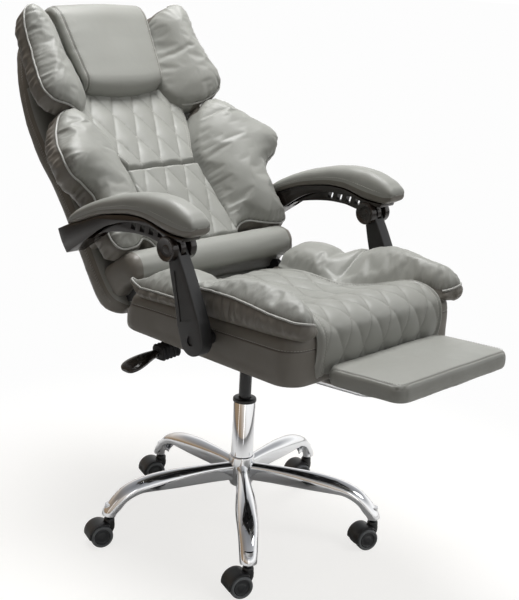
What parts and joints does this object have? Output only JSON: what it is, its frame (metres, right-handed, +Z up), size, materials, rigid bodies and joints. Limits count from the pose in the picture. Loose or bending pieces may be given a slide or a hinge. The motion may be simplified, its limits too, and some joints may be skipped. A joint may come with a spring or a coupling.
{
  "type": "reclining office chair",
  "caption": "Reclining office chair with quilted padded back and seat, linked armrests, a pull-out padded footrest and a swivelling five-star base on twin-wheel casters.",
  "frame": {"origin": "on the floor under the middle of the chair's bounding box, 30 mm behind the lift column's axis", "axes": "+Z up, -Y towards the front of the seat, +X towards the sitter's left"},
  "size_m": [0.6687, 1.189, 1.1343],
  "materials": {
    "chrome_steel": "polished chrome plate",
    "black_nylon": "fine satin moulding",
    "black_steel": "black powder coat",
    "zinc_steel": "ground and zinc plated",
    "tyre_grey": "matt grey tyre on a black core",
    "rubber_black": "matt ribbed rubber",
    "upholstery": "grey smooth upholstery with pale piping, over foam",
    "upholstery_dark": "the same upholstery stretched over the hull and seat box",
    "board": "plywood under black cover cloth"
  },
  "bodies": {
    "base": {"base_hub": "chrome_steel", "lift_column_tube": "chrome_steel", "lift_guide_bush": "black_nylon", "base_leg_1": "chrome_steel", "base_leg_2": "chrome_steel", "base_leg_3": "chrome_steel", "base_leg_4": "chrome_steel", "base_leg_5": "chrome_steel"},
    "caster_1": {"caster_hood_1": "black_nylon"},
    "wheels_1": {"caster_wheel_1a": "tyre_grey", "caster_wheel_1b": "tyre_grey"},
    "caster_2": {"caster_hood_2": "black_nylon"},
    "wheels_2": {"caster_wheel_2a": "tyre_grey", "caster_wheel_2b": "tyre_grey"},
    "caster_3": {"caster_hood_3": "black_nylon"},
    "wheels_3": {"caster_wheel_3a": "tyre_grey", "caster_wheel_3b": "tyre_grey"},
    "caster_4": {"caster_hood_4": "black_nylon"},
    "wheels_4": {"caster_wheel_4a": "tyre_grey", "caster_wheel_4b": "tyre_grey"},
    "caster_5": {"caster_hood_5": "black_nylon"},
    "wheels_5": {"caster_wheel_5a": "tyre_grey", "caster_wheel_5b": "tyre_grey"},
    "lift_rod": {"piston_rod": "zinc_steel"},
    "lift_cylinder": {"gas_cylinder": "black_steel", "tilt_bracket": "black_steel"},
    "valve": {"valve_pin": "zinc_steel"},
    "lever": {"lever_rod": "zinc_steel", "lever_boot": "rubber_black", "lever_paddle": "black_nylon"},
    "seat": {"mechanism_housing": "black_steel", "seat_board": "board", "seat_base": "upholstery_dark", "seat_quilt": "upholstery", "seat_pillow_left": "upholstery", "seat_pillow_right": "upholstery", "recline_bar": "black_steel", "footrest_guide": "black_steel"},
    "tension": {"tension_knob": "black_nylon"},
    "back": {"back_frame": "black_steel", "back_shell": "upholstery_dark", "back_bolster": "upholstery", "back_quilt_lower": "upholstery", "back_quilt_upper": "upholstery", "head_cushion": "upholstery", "head_wing_left": "upholstery", "head_wing_right": "upholstery", "lumbar_pillow_left": "upholstery", "lumbar_pillow_right": "upholstery"},
    "arm_left": {"arm_frame_left": "black_nylon", "arm_pad_left": "upholstery", "arm_knob_left": "black_nylon"},
    "strut_left": {"arm_strut_left": "black_nylon"},
    "arm_right": {"arm_frame_right": "black_nylon", "arm_pad_right": "upholstery", "arm_knob_right": "black_nylon"},
    "strut_right": {"arm_strut_right": "black_nylon"},
    "footrest_slider": {"footrest_tube": "chrome_steel"},
    "footrest": {"footrest_bracket": "black_steel", "footrest_pad": "upholstery"}
  },
  "joints": [
    {"name": "caster_1_swivel", "type": "hinge", "parent": "base", "child": "caster_1", "pos_m": [0.02702, 0.27882, 0.07], "axis": [0, 0, 1], "continuous": true},
    {"name": "caster_1_roll", "type": "hinge", "parent": "caster_1", "child": "wheels_1", "pos_m": [0.00635, 0.28634, 0.025], "axis": [-0.342, -0.9397, 0], "continuous": true},
    {"name": "caster_2_swivel", "type": "hinge", "parent": "base", "child": "caster_2", "pos_m": [0.30205, 0.03973, 0.07], "axis": [0, 0, 1], "continuous": true},
    {"name": "caster_2_roll", "type": "hinge", "parent": "caster_2", "child": "wheels_2", "pos_m": [0.28138, 0.04726, 0.025], "axis": [-0.342, -0.9397, 0], "continuous": true},
    {"name": "caster_3_swivel", "type": "hinge", "parent": "base", "child": "caster_3", "pos_m": [0.15966, -0.29572, 0.07], "axis": [0, 0, 1], "continuous": true},
    {"name": "caster_3_roll", "type": "hinge", "parent": "caster_3", "child": "wheels_3", "pos_m": [0.13899, -0.2882, 0.025], "axis": [-0.342, -0.9397, 0], "continuous": true},
    {"name": "caster_4_swivel", "type": "hinge", "parent": "base", "child": "caster_4", "pos_m": [-0.20338, -0.26396, 0.07], "axis": [0, 0, 1], "continuous": true},
    {"name": "caster_4_roll", "type": "hinge", "parent": "caster_4", "child": "wheels_4", "pos_m": [-0.22405, -0.25644, 0.025], "axis": [-0.342, -0.9397, 0], "continuous": true},
    {"name": "caster_5_swivel", "type": "hinge", "parent": "base", "child": "caster_5", "pos_m": [-0.28536, 0.09113, 0.07], "axis": [0, 0, 1], "continuous": true},
    {"name": "caster_5_roll", "type": "hinge", "parent": "caster_5", "child": "wheels_5", "pos_m": [-0.30603, 0.09865, 0.025], "axis": [-0.342, -0.9397, 0], "continuous": true},
    {"name": "seat_swivel", "type": "hinge", "parent": "base", "child": "lift_rod", "pos_m": [0, -0.03, 0.104], "axis": [0, 0, 1], "continuous": true},
    {"name": "lift_slide", "type": "slide", "parent": "lift_rod", "child": "lift_cylinder", "axis": [0, 0, 1], "range_m": [-0.09, 0]},
    {"name": "lift_lever", "type": "hinge", "parent": "lift_cylinder", "child": "lever", "pos_m": [-0.037, 0.027, 0.46], "axis": [0, 1, 0], "range_deg": [0, 3.5], "stiffness_Nm_per_rad": 4, "springref_deg": -8.59},
    {"name": "valve_slide", "type": "slide", "parent": "lift_cylinder", "child": "valve", "axis": [0, 0, 1], "range_m": [-0.003, 0]},
    {"name": "tilt_rock", "type": "hinge", "parent": "lift_cylinder", "child": "seat", "pos_m": [0, -0.082, 0.425], "axis": [-1, 0, 0], "range_deg": [0, 6], "stiffness_Nm_per_rad": 180, "springref_deg": -25.78},
    {"name": "tension_turn", "type": "hinge", "parent": "seat", "child": "tension", "pos_m": [0, -0.116, 0.398], "axis": [0, 0, 1], "continuous": true},
    {"name": "recline", "type": "hinge", "parent": "seat", "child": "back", "pos_m": [0, 0.095, 0.562], "axis": [-1, 0, 0], "range_deg": [-33, 3]},
    {"name": "footrest_slide", "type": "slide", "parent": "seat", "child": "footrest_slider", "axis": [0, -0.9979, 0.0645], "range_m": [-0.15, 0]},
    {"name": "footrest_flip", "type": "hinge", "parent": "footrest_slider", "child": "footrest", "pos_m": [0, -0.49, 0.487], "axis": [-1, 0, 0], "range_deg": [-180, 0]},
    {"name": "arm_left_pivot", "type": "hinge", "parent": "back", "child": "arm_left", "pos_m": [0.257, 0.215, 0.672], "axis": [-1, 0, 0], "range_deg": [-2.5, 26.6]},
    {"name": "strut_left_pivot", "type": "hinge", "parent": "seat", "child": "strut_left", "pos_m": [0.257, -0.182, 0.548], "axis": [-1, 0, 0], "range_deg": [-25.6, 2.4]},
    {"name": "arm_right_pivot", "type": "hinge", "parent": "back", "child": "arm_right", "pos_m": [-0.257, 0.215, 0.672], "axis": [-1, 0, 0], "range_deg": [-2.5, 26.6]},
    {"name": "strut_right_pivot", "type": "hinge", "parent": "seat", "child": "strut_right", "pos_m": [-0.257, -0.182, 0.548], "axis": [-1, 0, 0], "range_deg": [-25.6, 2.4]}
  ],
  "couplings": [
    {"joint": "valve_slide", "follows": "lift_lever", "m_per_rad": -0.037},
    {"joint": "footrest_flip", "follows": "footrest_slide", "rad_per_m": 20.9},
    {"joint": "arm_left_pivot", "follows": "recline", "ratio": -0.804},
    {"joint": "strut_left_pivot", "follows": "recline", "ratio": 0.774},
    {"joint": "arm_right_pivot", "follows": "recline", "ratio": -0.804},
    {"joint": "strut_right_pivot", "follows": "recline", "ratio": 0.774}
  ]
}
